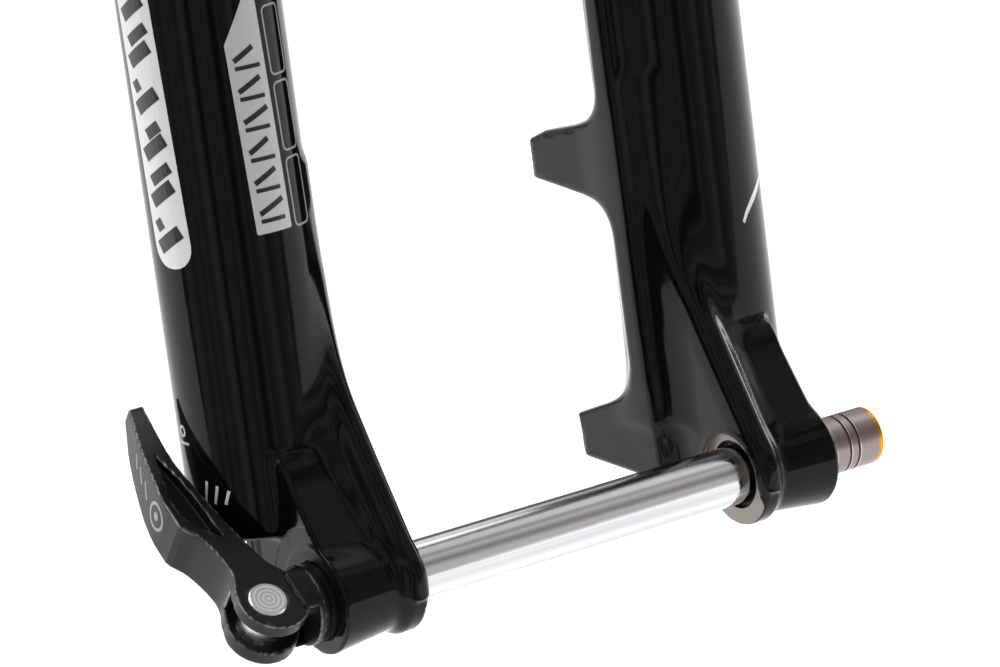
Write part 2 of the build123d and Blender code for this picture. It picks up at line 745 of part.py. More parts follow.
def save_upper():
    save(steerer_tube(), "steerer_tube")
    save(crown(), "crown")
    save(stanchion(LEFT), "stanchion_left")
    save(stanchion(RIGHT), "stanchion_right")
    save(top_cap(LEFT, 3.95), "air_top_cap")
    save(top_cap(RIGHT, 2.5), "damper_top_cap")
    save(top_cap_orings(), "top_cap_orings")
    save(air_valve_body(), "air_valve_body")
    save(air_valve_pin(), "air_valve_pin")
    save(air_valve_cap(), "air_valve_cap")
    save(lockout_knob(), "lockout_knob")
    save(lockout_spindle(), "lockout_spindle")
    save(lockout_screw(), "lockout_screw")
    save(damper_cartridge(), "damper_cartridge")
    save(seal_head(LEFT), "air_seal_head")
    save(seal_head(RIGHT), "damper_seal_head")
    save(seal_head_circlips(), "seal_head_circlips")
    save(seal_head_orings(), "seal_head_orings")
    save(shaft_seals(), "shaft_seals")
    save(negative_spring(), "negative_spring")


def save_lowers():
    save(lower_casting(), "lower_casting")
    for side, word in ((LEFT, "left"), (RIGHT, "right")):
        save(dust_wiper(side), f"dust_wiper_{word}")
        save(foam_ring(side), f"foam_ring_{word}")
        save(bushing(side, FOAM_SEAT - 4, 26), f"upper_bushing_{word}")
        save(bushing(side, -312, 20), f"lower_bushing_{word}")
    save(garter_springs(), "garter_springs")
    save(air_shaft(), "air_shaft")
    save(air_piston(), "air_piston")
    save(air_piston_seal(), "air_piston_seal")
    save(bump_stops(), "bump_stops")
    save(damper_shaft(), "damper_shaft")
    save(rebound_piston(), "rebound_piston")
    save(piston_ring(), "piston_ring")
    save(rebound_shims(), "rebound_shims")
    save(crush_washers(), "crush_washers")
    save(foot_bolt(LEFT, 3.2, 0), "air_foot_bolt")
    save(foot_bolt(RIGHT, 2.6, 1.45), "damper_foot_bolt")
    save(rebound_knob(), "rebound_knob")
    save(rebound_needle(), "rebound_needle")
    save(hose_guide(), "hose_guide")
    save(hose_guide_screw(), "hose_guide_screw")
    save(sag_ring(), "sag_ring")


def save_axle():
    save(axle_tube(), "axle_tube")
    save(cam_cup(), "cam_cup")
    save(draw_rod(), "draw_rod")
    save(lever_pin(), "lever_pin")
    save(cam_lever(), "cam_lever")
    save(tension_nut(), "tension_nut")
    save(nut_end_ring(), "nut_end_ring")


save_upper()
save_lowers()
save_axle()
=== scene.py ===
import json

import bpy
import numpy as np
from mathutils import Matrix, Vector
from mathutils.geometry import delaunay_2d_cdt


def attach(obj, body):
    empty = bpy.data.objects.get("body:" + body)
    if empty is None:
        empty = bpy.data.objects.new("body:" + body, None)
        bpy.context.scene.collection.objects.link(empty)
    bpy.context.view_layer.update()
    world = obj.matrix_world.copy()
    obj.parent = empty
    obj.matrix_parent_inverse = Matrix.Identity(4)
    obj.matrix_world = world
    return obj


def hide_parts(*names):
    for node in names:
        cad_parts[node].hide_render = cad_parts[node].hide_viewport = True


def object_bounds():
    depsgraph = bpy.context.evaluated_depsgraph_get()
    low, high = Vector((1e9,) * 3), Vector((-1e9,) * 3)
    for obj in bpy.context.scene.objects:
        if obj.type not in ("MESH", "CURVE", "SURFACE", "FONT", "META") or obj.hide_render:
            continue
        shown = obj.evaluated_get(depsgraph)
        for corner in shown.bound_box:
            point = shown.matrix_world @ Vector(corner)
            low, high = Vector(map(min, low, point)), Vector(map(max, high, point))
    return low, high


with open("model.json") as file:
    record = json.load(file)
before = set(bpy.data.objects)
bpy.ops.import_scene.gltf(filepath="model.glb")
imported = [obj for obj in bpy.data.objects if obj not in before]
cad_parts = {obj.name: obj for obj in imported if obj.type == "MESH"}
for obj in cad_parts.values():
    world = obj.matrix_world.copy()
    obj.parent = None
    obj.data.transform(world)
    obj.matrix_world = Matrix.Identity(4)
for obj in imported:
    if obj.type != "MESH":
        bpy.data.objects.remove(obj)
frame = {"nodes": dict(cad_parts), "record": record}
CAD_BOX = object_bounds()
NODES = frame["nodes"]


def mount(name):
    """A mount's place in millimetres."""
    return 1000 * np.array(next(m["pos_m"] for m in frame["record"]["mounts"] if m["name"] == name))


# The shapes below are worked out in millimetres about the axle's centre.
AXLE = mount("hub_axle")
BRAKE_POSTS = [mount(name) - AXLE for name in ("brake_post_upper", "brake_post_lower")]
LEVER_PIN_X = -89.6
LEG_X, LEG_Y = 66.3, 29.2
TOP = 346.0
UP = np.array([0.0, 0.755, 0.656])
PIN = np.array([0.0, -0.656, 0.755])


# ------------------------------------------------------------------ camera, floor, light


CAMERA_PLACE = (-0.6306, -1.0139, -0.1955)
CAMERA_TILT, CAMERA_ROLL, CAMERA_TURN = 77.28, 7.27, -34.18
# About the way the camera looks, along the floor.
AWAY = Vector((-np.sin(np.radians(CAMERA_TURN)), np.cos(np.radians(CAMERA_TURN)), 0))


def make_camera():
    """Long lens from in front, above and to the right of the fork."""
    data = bpy.data.cameras.new("camera")
    data.lens = 175.0
    data.sensor_width = 36.0
    data.clip_start = 0.05
    data.clip_end = 50.0
    cam = bpy.data.objects.new("camera", data)
    cam.location = CAMERA_PLACE
    cam.rotation_euler = [np.radians(angle) for angle in (CAMERA_TILT, CAMERA_ROLL, CAMERA_TURN)]
    bpy.context.scene.collection.objects.link(cam)
    bpy.context.scene.camera = cam


LEVER_DROP = 0.06


def make_floor():
    """White floor, low enough for the open lever to swing clear of it."""
    low = CAD_BOX[0].z - LEVER_DROP
    bpy.ops.mesh.primitive_plane_add(size=10.0, location=(*(4.8 * AWAY).xy, low))
    floor = bpy.context.object
    floor.name = "floor"
    floor.rotation_euler.z = AWAY.to_2d().angle_signed(Vector((0, 1)))
    mat = bpy.data.materials.new("floor_white")
    mat.use_nodes = True
    shader = mat.node_tree.nodes["Principled BSDF"]
    shader.inputs["Base Color"].default_value = (0.88, 0.88, 0.88, 1)
    shader.inputs["Roughness"].default_value = 0.9
    shader.inputs["Specular IOR Level"].default_value = 0.1
    shader.inputs["Emission Color"].default_value = (1, 1, 1, 1)
    shader.inputs["Emission Strength"].default_value = 0.54
    floor.data.materials.append(mat)


def make_world():
    """White room that is darker on the side the photographer stands."""
    world = bpy.data.worlds.new("studio")
    bpy.context.scene.world = world
    world.use_nodes = True
    nodes, links = world.node_tree.nodes, world.node_tree.links
    nodes.clear()
    out = nodes.new("ShaderNodeOutputWorld")
    sky = nodes.new("ShaderNodeBackground")
    room = nodes.new("ShaderNodeBackground")
    both = nodes.new("ShaderNodeMixShader")
    path = nodes.new("ShaderNodeLightPath")
    coord = nodes.new("ShaderNodeTexCoord")
    dot = nodes.new("ShaderNodeVectorMath")
    ramp = nodes.new("ShaderNodeValToRGB")
    half = nodes.new("ShaderNodeMath")
    sky.inputs["Color"].default_value = (1, 1, 1, 1)
    dot.operation = "DOT_PRODUCT"
    dot.inputs[1].default_value = AWAY
    half.operation = "MULTIPLY_ADD"
    half.inputs[1].default_value = 0.5
    half.inputs[2].default_value = 0.5
    stops = ramp.color_ramp.elements
    stops[0].position, stops[0].color = 0.0, (0.42, 0.405, 0.39, 1)
    stops[1].position, stops[1].color = 0.8, (1.0, 1.0, 1.0, 1)
    middle = stops.new(0.5)
    middle.color = (0.27, 0.26, 0.25, 1)
    bands = nodes.new("ShaderNodeTexNoise")
    bands.inputs["Scale"].default_value = 4.5
    bands.inputs["Detail"].default_value = 2.5
    flatten = nodes.new("ShaderNodeMapping")
    flatten.inputs["Scale"].default_value = (1, 1, 0.06)
    contrast = nodes.new("ShaderNodeMapRange")
    contrast.inputs["From Min"].default_value = 0.38
    contrast.inputs["From Max"].default_value = 0.62
    contrast.inputs["To Min"].default_value = 0.15
    contrast.inputs["To Max"].default_value = 1.8
    tint = nodes.new("ShaderNodeVectorMath")
    tint.operation = "SCALE"
    links.new(coord.outputs["Generated"], dot.inputs[0])
    links.new(coord.outputs["Generated"], flatten.inputs["Vector"])
    links.new(flatten.outputs[0], bands.inputs["Vector"])
    links.new(bands.outputs["Fac"], contrast.inputs["Value"])
    links.new(dot.outputs["Value"], half.inputs[0])
    links.new(half.outputs[0], ramp.inputs[0])
    links.new(ramp.outputs[0], tint.inputs[0])
    links.new(contrast.outputs[0], tint.inputs["Scale"])
    links.new(tint.outputs[0], room.inputs["Color"])
    links.new(path.outputs["Is Camera Ray"], both.inputs[0])
    links.new(room.outputs[0], both.inputs[1])
    links.new(sky.outputs[0], both.inputs[2])
    links.new(both.outputs[0], out.inputs[0])


def area(name, place, target, size, power):
    data = bpy.data.lights.new(name, "AREA")
    data.shape = "RECTANGLE"
    data.size, data.size_y = size
    data.energy = power
    lamp = bpy.data.objects.new(name, data)
    lamp.location = place
    lamp.rotation_euler = (Vector(target) - Vector(place)).to_track_quat("-Z", "Y").to_euler()
    bpy.context.scene.collection.objects.link(lamp)


def make_lights():
    middle = (0, -0.04, -0.4)
    area("key", (-1.3, 0.5, 0.7), middle, (0.8, 1.3), 11)
    area("fill", (1.5, 0.2, 0.2), middle, (0.5, 1.4), 8)
    area("overhead", (0.1, 0.5, 1.3), middle, (1.6, 1.2), 9)


# ------------------------------------------------------------------ materials


class Nodes:
    """Small helper that adds and links nodes in one material."""

    def __init__(self, name):
        self.mat = bpy.data.materials.new(name)
        self.mat.use_nodes = True
        self.tree = self.mat.node_tree
        self.shader = self.tree.nodes["Principled BSDF"]
        self.place = self.add("ShaderNodeTexCoord").outputs["Object"]

    def add(self, kind):
        return self.tree.nodes.new(kind)

    def link(self, a, b):
        self.tree.links.new(a, b)

    def set(self, **values):
        names = {
            "metal": "Metallic",
            "spec": "Specular IOR Level",
            "coat": "Coat Weight",
            "coat_rough": "Coat Roughness",
            "sheen": "Sheen Weight",
        }
        for key, value in values.items():
            self.shader.inputs[names[key]].default_value = value

    def noise(self, scale, stretch=(1, 1, 1), detail=4.0, rough=0.55):
        move = self.add("ShaderNodeMapping")
        move.inputs["Scale"].default_value = stretch
        self.link(self.place, move.inputs["Vector"])
        node = self.add("ShaderNodeTexNoise")
        node.inputs["Scale"].default_value = scale
        node.inputs["Detail"].default_value = detail
        node.inputs["Roughness"].default_value = rough
        self.link(move.outputs[0], node.inputs["Vector"])
        return node.outputs["Fac"]

    def spread(self, value, low, high, start=0.3, end=0.7):
        node = self.add("ShaderNodeMapRange")
        node.inputs["From Min"].default_value = start
        node.inputs["From Max"].default_value = end
        node.inputs["To Min"].default_value = low
        node.inputs["To Max"].default_value = high
        self.link(value, node.inputs["Value"])
        return node.outputs[0]

    def blend(self, value, a, b):
        node = self.add("ShaderNodeMix")
        node.data_type = "RGBA"
        node.inputs[6].default_value = (*a, 1)
        node.inputs[7].default_value = (*b, 1)
        self.link(value, node.inputs[0])
        return node.outputs[2]

    def math(self, kind, a, b):
        node = self.add("ShaderNodeMath")
        node.operation = kind
        for i, v in enumerate((a, b)):
            if isinstance(v, (int, float)):
                node.inputs[i].default_value = v
            else:
                self.link(v, node.inputs[i])
        return node.outputs[0]

    def bump(self, value, strength, distance):
        node = self.add("ShaderNodeBump")
        node.inputs["Strength"].default_value = strength
        node.inputs["Distance"].default_value = distance
        self.link(value, node.inputs["Height"])
        self.link(node.outputs[0], self.shader.inputs["Normal"])
        return node

    def parts(self):
        node = self.add("ShaderNodeSeparateXYZ")
        self.link(self.place, node.inputs[0])
        return node.outputs

    def inside(self, *tests):
        """1 where every (value, "<" or ">", limit) holds."""
        made = None
        for value, kind, limit in tests:
            one = self.math("LESS_THAN" if kind == "<" else "GREATER_THAN", value, limit)
            made = one if made is None else self.math("MULTIPLY", made, one)
        return made

    def second(self, mask, tone, rough, metal):
        """Lays a second finish over the first one where the mask is 1."""
        for socket, value in (("Base Color", tone), ("Roughness", rough), ("Metallic", metal)):
            target = self.shader.inputs[socket]
            mix = self.add("ShaderNodeMix")
            mix.data_type = "RGBA" if socket == "Base Color" else "FLOAT"
            a, b, out = (6, 7, 2) if socket == "Base Color" else (2, 3, 0)
            if target.is_linked:
                self.link(target.links[0].from_socket, mix.inputs[a])
            else:
                mix.inputs[a].default_value = target.default_value
            if isinstance(value, (tuple, int, float)):
                mix.inputs[b].default_value = (*value, 1) if isinstance(value, tuple) else value
            else:
                self.link(value, mix.inputs[b])
            self.link(mask, mix.inputs[0])
            self.link(mix.outputs[out], target)

    def paint_highlight(self, amount, base, tone):
        """Shows the base colour, and the tone of a painted highlight where the amount is high."""
        mix = self.add("ShaderNodeMix")
        mix.data_type = "RGBA"
        mix.inputs[7].default_value = (*tone, 1)
        self.link(amount, mix.inputs[0])
        self.link(base, mix.inputs[6])
        self.link(mix.outputs[2], self.shader.inputs["Base Color"])

    def edge(self, radius, low=0.02, high=0.16):
        """1 along outer edges, where a painted highlight is laid: where a rounded normal leaves the true
        one.
        """
        bevel = self.add("ShaderNodeBevel")
        bevel.samples = 6
        bevel.inputs["Radius"].default_value = radius
        true = self.add("ShaderNodeNewGeometry")
        dot = self.add("ShaderNodeVectorMath")
        dot.operation = "DOT_PRODUCT"
        self.link(bevel.outputs[0], dot.inputs[0])
        self.link(true.outputs["Normal"], dot.inputs[1])
        return self.spread(self.math("SUBTRACT", 1.0, dot.outputs["Value"]), 0.0, 1.0, low, high)


def gloss_paint(name, tone, spec=0.5, coat=0.25, rough=(0.07, 0.13)):
    """Paint that drifts a little in tone down its length."""
    m = Nodes(name)
    m.set(metal=0.0, spec=spec, coat=coat, coat_rough=0.03)
    drift = m.noise(9.0, (1, 1, 0.25))
    m.link(m.blend(drift, tone, tuple(1.7 * c for c in tone)), m.shader.inputs["Base Color"])
    m.link(m.spread(m.noise(160.0), *rough), m.shader.inputs["Roughness"])
    m.bump(m.noise(420.0, detail=2.0), 0.05, 0.0002)
    return m.mat


def cast_paint():
    """Gloss black, bare where a cutter has been: the hub seats, bores and outer spot-faces, with the bores
    and spot-faces drawn near black as painted shade.
    """
    m = Nodes("gloss_black_casting")
    m.set(metal=0.0, spec=0.17, coat=0.06, coat_rough=0.03)
    drift = m.noise(9.0, (1, 1, 0.25))
    tone = m.blend(drift, (0.0034, 0.003, 0.0028), (0.006, 0.0052, 0.0048))
    m.link(tone, m.shader.inputs["Base Color"])
    m.link(m.spread(m.noise(160.0), 0.06, 0.12), m.shader.inputs["Roughness"])
    x, y, z = m.parts()
    u = m.math("ABSOLUTE", x, 0.0)
    dy = m.math("SUBTRACT", y, float(AXLE[1] / 1000))
    dz = m.math("SUBTRACT", z, float(AXLE[2] / 1000))
    away = m.math("SQRT", m.math("ADD", m.math("MULTIPLY", dy, dy), m.math("MULTIPLY", dz, dz)), 0.0)
    spot = m.inside((u, ">", 0.07392), (away, "<", 0.0124), (away, ">", 0.0099), (u, "<", 0.0862))
    seat_low = m.inside((m.math("ABSOLUTE", dy, 0.0), "<", 0.01085), (dz, "<", 0.0))
    disc_mask = m.math("MAXIMUM", m.inside((away, "<", 0.01085)), seat_low)
    seat = m.math("MULTIPLY", disc_mask, m.inside((u, "<", 0.05115), (away, ">", 0.0087)))
    bore = m.math("MULTIPLY", m.inside((away, "<", 0.0090)), m.inside((u, "<", 0.0528)))
    marks = m.noise(1500.0, (0.2, 1, 1), detail=4.0)
    # The bare spot-face ring and the bore get near-black tones as painted shade; the seat keeps the bare
    # metal's own tan.
    for mask, dark, light, metal in (
        (spot, (0.02, 0.019, 0.017), (0.05, 0.047, 0.043), 0.9),
        (bore, (0.012, 0.012, 0.013), (0.03, 0.03, 0.03), 0.9),
        (seat, (0.19, 0.17, 0.15), (0.36, 0.32, 0.29), 0.85),
    ):
        m.second(mask, m.blend(marks, dark, light), m.spread(marks, 0.35, 0.5), metal)
    m.bump(m.noise(420.0, detail=2.0), 0.03, 0.0002)
    return m.mat


def axle_metal():
    """Ground bright tube with a black head where the lever pulls on it."""
    m = Nodes("polished_axle")
    m.set(metal=1.0)
    lines = m.noise(900.0, (0.02, 1, 1), detail=5.0, rough=0.6)
    streaks = m.spread(m.noise(230.0, (0.008, 1, 1), detail=3.0, rough=0.7), 0.0, 1.0, 0.38, 0.62)
    m.link(m.blend(streaks, (0.6, 0.61, 0.64), (0.92, 0.92, 0.93)), m.shader.inputs["Base Color"])
    m.link(m.spread(streaks, 0.09, 0.22), m.shader.inputs["Roughness"])
    x = m.parts()[0]
    head = m.inside((x, "<", -0.0729))
    black = m.blend(m.noise(40.0), (0.012, 0.012, 0.013), (0.022, 0.022, 0.024))
    m.second(head, black, m.spread(m.noise(1500.0), 0.25, 0.38), 0.5)
    m.bump(lines, 0.05, 0.0001)
    return m.mat


def flat_ink(name, tone, rough=(0.28, 0.4)):
    """Printed film over the paint."""
    m = Nodes(name)
    m.set(metal=0.0, spec=0.5, coat=0.3, coat_rough=0.05)
    m.link(m.blend(m.noise(70.0), tuple(0.94 * c for c in tone), tone), m.shader.inputs["Base Color"])
    m.link(m.spread(m.noise(900.0), *rough), m.shader.inputs["Roughness"])
    m.bump(m.noise(1800.0, detail=2.0), 0.03, 0.00005)
    return m.mat


def grooved_sleeve():
    """Brown sleeve with painted highlight lines beside its grooves."""
    m = Nodes("brown_sleeve")
    m.set(metal=1.0)
    lines = m.noise(1400.0, (1, 0.03, 0.03), detail=5.0, rough=0.6)
    m.link(m.blend(lines, (0.27, 0.225, 0.22), (0.36, 0.3, 0.29)), m.shader.inputs["Base Color"])
    m.link(m.spread(lines, 0.28, 0.42), m.shader.inputs["Roughness"])
    x = m.parts()[0]
    # painted highlight: bright rings beside the grooves stand in for the light their lips catch
    edge_highlight = None
    for start, wide in ((0.0784, 0.00015), (0.0829, 0.0003), (0.0857, 0.0003)):
        line = m.inside((x, ">", start), (x, "<", start + wide))
        edge_highlight = line if edge_highlight is None else m.math("MAXIMUM", edge_highlight, line)
    m.second(edge_highlight, m.blend(m.noise(300.0), (0.42, 0.38, 0.37), (0.8, 0.75, 0.73)), 0.2, 1.0)
    m.bump(lines, 0.1, 0.0001)
    return m.mat


def anodised(name, tone, edge_highlight=(0.35, 0.35, 0.36), rough=(0.28, 0.4), edge=0.00045):
    """Anodised metal, with a painted highlight along its edges."""
    m = Nodes(name)
    m.set(metal=0.55, spec=0.5)
    grain = m.noise(1500.0, detail=2.0)
    base = m.blend(m.noise(40.0), tone, tuple(1.5 * c + 0.004 for c in tone))
    # painted highlight: the edges are lightened to stand in for the light they catch
    m.paint_highlight(m.math("MULTIPLY", m.edge(edge), m.spread(m.noise(260.0), 0.15, 0.8)), base, edge_highlight)
    m.link(m.spread(grain, *rough), m.shader.inputs["Roughness"])
    m.bump(grain, 0.08, 0.00008)
    return m.mat


def black_with_edge_highlights():
    """Black anodising, with a painted highlight along the sharp edges."""
    m = Nodes("lever_black")
    m.set(metal=0.5, spec=0.45)
    edge_highlight = m.add("ShaderNodeAttribute")
    edge_highlight.attribute_name = "edge_highlight"
    # painted highlight: a bright tone on the convex edges stands in for the light they catch
    highlight_amount = m.math("MULTIPLY", edge_highlight.outputs["Fac"], m.spread(m.noise(420.0), 0.35, 1.0))
    base = m.blend(m.noise(40.0), (0.0105, 0.0102, 0.0105), (0.018, 0.017, 0.017))
    m.paint_highlight(highlight_amount, base, (0.5, 0.46, 0.44))
    grain = m.noise(1500.0, detail=2.0)
    m.link(m.spread(grain, 0.3, 0.42), m.shader.inputs["Roughness"])
    m.bump(grain, 0.08, 0.00008)
    return m.mat


def bare_metal(name, tone, rough=(0.14, 0.3), stretch=(0.02, 1, 1), scale=900.0, depth=0.06):
    """Metal with fine tool or draw marks, long in the direction that is squeezed."""
    m = Nodes(name)
    m.set(metal=1.0)
    lines = m.noise(scale, stretch, detail=5.0, rough=0.6)
    m.link(m.blend(lines, tuple(0.8 * c for c in tone), tone), m.shader.inputs["Base Color"])
    m.link(m.spread(lines, *rough), m.shader.inputs["Roughness"])
    m.bump(lines, depth, 0.0001)
    return m.mat


def turned_face(name, tone, centre, axis, pitch=0.0011):
    """Bright metal with the rings a lathe leaves round an axis."""
    m = Nodes(name)
    m.set(metal=1.0)
    shift = m.add("ShaderNodeVectorMath")
    shift.operation = "SUBTRACT"
    shift.inputs[1].default_value = centre
    m.link(m.place, shift.inputs[0])
    cross = m.add("ShaderNodeVectorMath")
    cross.operation = "CROSS_PRODUCT"
    cross.inputs[1].default_value = axis
    m.link(shift.outputs[0], cross.inputs[0])
    length = m.add("ShaderNodeVectorMath")
    length.operation = "LENGTH"
    m.link(cross.outputs[0], length.inputs[0])
    ring = m.math("SINE", m.math("MULTIPLY", length.outputs["Value"], 6.2832 / pitch), 0.0)
    mark = m.spread(ring, 0.0, 1.0, -1.0, 1.0)
    m.link(m.blend(mark, tuple(0.62 * c for c in tone), tone), m.shader.inputs["Base Color"])
    m.link(m.spread(m.noise(700.0), 0.26, 0.34), m.shader.inputs["Roughness"])
    m.bump(mark, 0.12, 0.0001)
    return m.mat


def rubber(name, tone):
    m = Nodes(name)
    m.set(metal=0.0, spec=0.35, sheen=0.2)
    m.link(m.blend(m.noise(60.0), tone, tuple(1.8 * c + 0.003 for c in tone)), m.shader.inputs["Base Color"])
    m.link(m.spread(m.noise(900.0), 0.55, 0.75), m.shader.inputs["Roughness"])
    m.bump(m.noise(2600.0, detail=2.0), 0.15, 0.0001)
    return m.mat


def plastic(name, tone, rough=(0.35, 0.5)):
    m = Nodes(name)
    m.set(metal=0.0, spec=0.5)
    m.link(m.blend(m.noise(30.0), tone, tuple(1.3 * c + 0.002 for c in tone)), m.shader.inputs["Base Color"])
    m.link(m.spread(m.noise(1400.0), *rough), m.shader.inputs["Roughness"])
    m.bump(m.noise(2200.0, detail=2.0), 0.1, 0.00008)
    return m.mat


# Which way tool marks run.
EVEN = (1, 1, 1)
ROUND_AXLE = (1, 0.03, 0.03)


def make_materials():
    pin_centre = tuple((AXLE + (LEVER_PIN_X, 0, 0)) / 1000)
    pin_axis = tuple(float(v) for v in PIN)
    return {
        "gloss_black": gloss_paint("gloss_black", (0.004, 0.004, 0.0044)),
        "crown_black": gloss_paint("crown_black", (0.009, 0.009, 0.0098), 0.22, 0.03, (0.3, 0.42)),
        "raw_aluminium": bare_metal("raw_aluminium", (0.72, 0.73, 0.75), (0.25, 0.4), (1, 1, 0.03)),
        "hard_chrome": bare_metal("hard_chrome", (0.62, 0.63, 0.66), (0.05, 0.1), (1, 1, 0.02), 600.0, 0.01),
        "polished_aluminium": bare_metal("polished_aluminium", (0.86, 0.87, 0.89), (0.07, 0.16)),
        "black_anodised": anodised("black_anodised", (0.014, 0.014, 0.0155)),
        "turned_pin": turned_face("turned_pin", (0.93, 0.94, 0.95), pin_centre, pin_axis),
        "brown_metal": bare_metal("brown_metal", (0.36, 0.3, 0.29), (0.28, 0.42), ROUND_AXLE, 1400.0, 0.1),
        "amber_anodised": bare_metal("amber_anodised", (0.85, 0.36, 0.015), (0.2, 0.34), EVEN, 900.0, 0.05),
        "steel": bare_metal("steel", (0.55, 0.55, 0.57), (0.2, 0.32), (1, 1, 0.05)),
        "black_oxide": anodised("black_oxide", (0.02, 0.02, 0.02), (0.25, 0.25, 0.25), (0.35, 0.5)),
        "seal_rubber": rubber("seal_rubber", (0.012, 0.012, 0.012)),
        "bump_rubber": rubber("bump_rubber", (0.3, 0.24, 0.08)),
        "foam": rubber("foam", (0.2, 0.19, 0.17)),
        "bearing_bronze": bare_metal("bearing_bronze", (0.5, 0.32, 0.15), (0.3, 0.45), EVEN),
        "valve_brass": bare_metal("valve_brass", (0.7, 0.53, 0.25), (0.2, 0.34), (1, 1, 0.1)),
        "piston_plastic": plastic("piston_plastic", (0.62, 0.6, 0.55)),
        "cap_plastic": plastic("cap_plastic", (0.014, 0.014, 0.014)),
        "dial_blue": anodised("dial_blue", (0.012, 0.06, 0.26), (0.45, 0.5, 0.6)),
        "knob_grey": anodised("knob_grey", (0.05, 0.045, 0.039), (0.4, 0.38, 0.34)),
        "copper": bare_metal("copper", (0.72, 0.38, 0.24), (0.25, 0.4), EVEN),
        "lever": black_with_edge_highlights(),
        "ink_white": flat_ink("ink_white", (0.92, 0.92, 0.92)),
        "ink_silver": flat_ink("ink_silver", (0.78, 0.79, 0.81)),
        "ink_black": flat_ink("ink_black", (0.01, 0.01, 0.01)),
        "ink_grey": flat_ink("ink_grey", (0.42, 0.42, 0.42)),
        "ink_lever": flat_ink("ink_lever", (0.32, 0.31, 0.3)),
    }


def dress_nodes(materials):
    """Gives every carried-over CAD node the finish of its slot."""
    for part in frame["record"]["subparts"]:
        node = NODES[part["node"]]
        node.data.materials.clear()
        node.data.materials.append(materials[part["material_slot"]])
    NODES["axle_tube"].data.materials[0] = axle_metal()
    NODES["tension_nut"].data.materials[0] = grooved_sleeve()


# ------------------------------------------------------------------ signed distances


def smin(a, b, k):
    """Union with a fillet about k wide."""
    h = np.clip(0.5 + 0.5 * (b - a) / k, 0, 1)
    return b + (a - b) * h - k * h * (1 - h)


def smax(a, b, k):
    """Intersection with a rounding about k wide."""
    return -smin(-a, -b, k)


def curve(*points, parts=8):
    """Smooth curve through a few points."""
    p = np.array(points, float)
    p = np.vstack([2 * p[0] - p[1], p, 2 * p[-1] - p[-2]])
    t = np.linspace(0, 1, parts, endpoint=False)[:, None]
    made = []
    for a, b, c, d in zip(p, p[1:], p[2:], p[3:]):
        made.append(b + 0.5 * t * (c - a + t * (2 * a - 5 * b + 4 * c - d + t * (3 * (b - c) + d - a))))
    return np.vstack([*made, p[-2]])


def outline(*runs):
    """Closed outline of curves and single corner points."""
    return np.vstack([np.atleast_2d(run) for run in runs])


def outline_distance(u, v, outline):
    """Distance to a closed 2-D outline, below zero inside."""
    u, v = np.broadcast_arrays(u, v)
    best = np.full(u.shape, 1e9)
    inside = np.zeros(u.shape, bool)
    for (au, av), (bu, bv) in zip(outline, np.roll(outline, -1, axis=0)):
        eu, ev = bu - au, bv - av
        wu, wv = u - au, v - av
        t = np.clip((wu * eu + wv * ev) / (eu * eu + ev * ev + 1e-12), 0, 1)
        best = np.minimum(best, (wu - t * eu) ** 2 + (wv - t * ev) ** 2)
        if ev != 0:
            cross = ((av <= v) != (bv <= v)) & (wu < eu * wv / ev)
            inside ^= cross
    return np.where(inside, -1, 1) * np.sqrt(best)


def slab(flat, x, low, high, r):
    """Extrudes a 2-D distance between two planes, its edges rounded by r."""
    side = np.abs(x - (low + high) / 2) - (high - low) / 2 + r
    flat = flat + r
    outer = np.sqrt(np.maximum(flat, 0) ** 2 + np.maximum(side, 0) ** 2)
    return np.minimum(np.maximum(flat, side), 0) + outer - r


def rod(a, b, ca, cb, r):
    """Distance to an endless round bar."""
    return np.sqrt((a - ca) ** 2 + (b - cb) ** 2) - r


# Outlines of the cast web, (y, z) about the axle: the curved front edge, then the hidden rear.
FLANGE = outline(
    curve((19.5, 100), (18.3, 76), (13, 52), (-6.5, 16), (-13.5, 5), (-14, -3)),
    *((2, -11), (24, -6), (38, 14), (30, 104)),
)
VALLEY = outline(curve((20, 72), (16.5, 51), (8, 35), (-8, 6)), (-4, -4), (24, -4), (38, 14), (30, 72))
BLOCK = outline(
    curve((13, 34.6), (9.4, 34), (7, 31.5), (3.5, 25), (-9, 6.5)),
    *((-5, 0), (4, -4), (24, -3), (38, 14), (30, 34.6)),
)

# The rear plate and the two tapered posts that stand out from it.
PLATE = outline((25, 158), (29.8, 156), (30.8, 100), (30.5, 22), (24, -4), (23.5, 20))
UPPER_POST = outline((30, 90), (58, 85), (64.8, 82.6), (64.6, 71.8), (30, 67.6))
LOWER_POST = outline((28, 19.6), (58.4, 10), (57.1, -1.8), (24, -4.2))
POST_FILLET = 9.0


LEG_R, LEG_TAPER = 19.7, 0.001
COLLAR_START, COLLAR_RISE, COLLAR_STEP = 314, 12, 22.5 - 19.95
# Where the cast web's layers lie, out from the middle.
FACE_X, FLANGE_X, VALLEY_X, BLOCK_X, OUTER_X = 50.0, 56.4, 62.0, 58.5, 74.0
POSTS_X = (44.4, 63.6)


def leg(u, y, z):
    """Slightly tapered tube that widens to a collar for the wiper."""
    radius = LEG_R + LEG_TAPER * (z - 100)
    collar = np.clip((z - COLLAR_START) / COLLAR_RISE, 0, 1)
    radius = radius + COLLAR_STEP * collar * collar * (3 - 2 * collar)
    tube = rod(u, y, LEG_X, LEG_Y, radius)
    return smax(smax(tube, FOOT - z, 1.6), z - TOP, 2.0)


